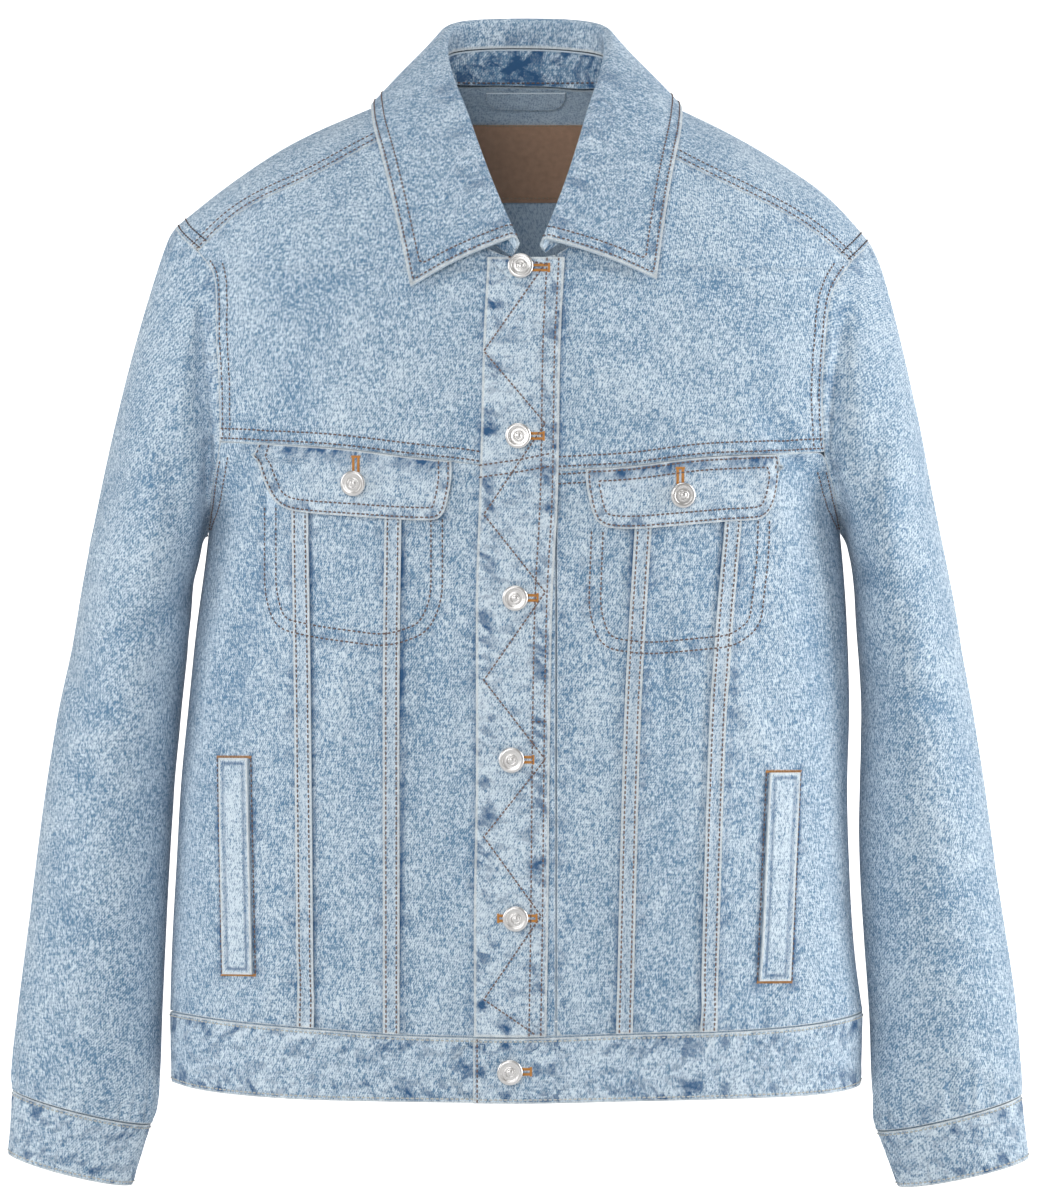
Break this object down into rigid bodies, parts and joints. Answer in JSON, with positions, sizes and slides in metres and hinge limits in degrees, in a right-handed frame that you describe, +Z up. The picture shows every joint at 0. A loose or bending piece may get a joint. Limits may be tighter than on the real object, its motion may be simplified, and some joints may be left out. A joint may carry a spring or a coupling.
{
  "type": "denim jacket",
  "caption": "Buttoned denim jacket, filled out as if worn, with turned-down collar, yokes, flap pockets, welt pockets, cuffs and hem band.",
  "frame": {"origin": "middle of the neck at the level of the shoulder line, inside the hollow, where a wearer holds the jacket up", "axes": "+Z up, the front faces -Y, the left sleeve of a viewer in front is at -X"},
  "size_m": [0.686, 0.2468, 0.7859],
  "materials": {
    "denim": "washed twill, matte",
    "denim_inside": "unfaded reverse of the twill, matte",
    "button_metal": "satin",
    "label_leather": "worn, matte"
  },
  "bodies": {
    "root": {"front_panel_left": "denim", "front_panel_right": "denim", "back_panel": "denim", "front_yoke_left": "denim", "front_yoke_right": "denim", "back_yoke": "denim", "sleeve_left": "denim", "sleeve_right": "denim", "cuff_left": "denim", "cuff_right": "denim", "hem_band": "denim", "placket": "denim", "seam_strip_left_outer": "denim", "seam_strip_left_inner": "denim", "seam_strip_right_inner": "denim", "seam_strip_right_outer": "denim", "pocket_flap_left": "denim", "pocket_flap_right": "denim", "welt_left": "denim", "welt_right": "denim", "collar_leaf": "denim", "collar_stand": "denim", "hanger_loop": "denim", "pocket_bag_left": "denim_inside", "pocket_bag_right": "denim_inside", "button_placket_1": "button_metal", "button_placket_2": "button_metal", "button_placket_3": "button_metal", "button_placket_4": "button_metal", "button_placket_5": "button_metal", "button_placket_6": "button_metal", "button_flap_left": "button_metal", "button_flap_right": "button_metal", "label": "label_leather"}
  },
  "joints": []
}
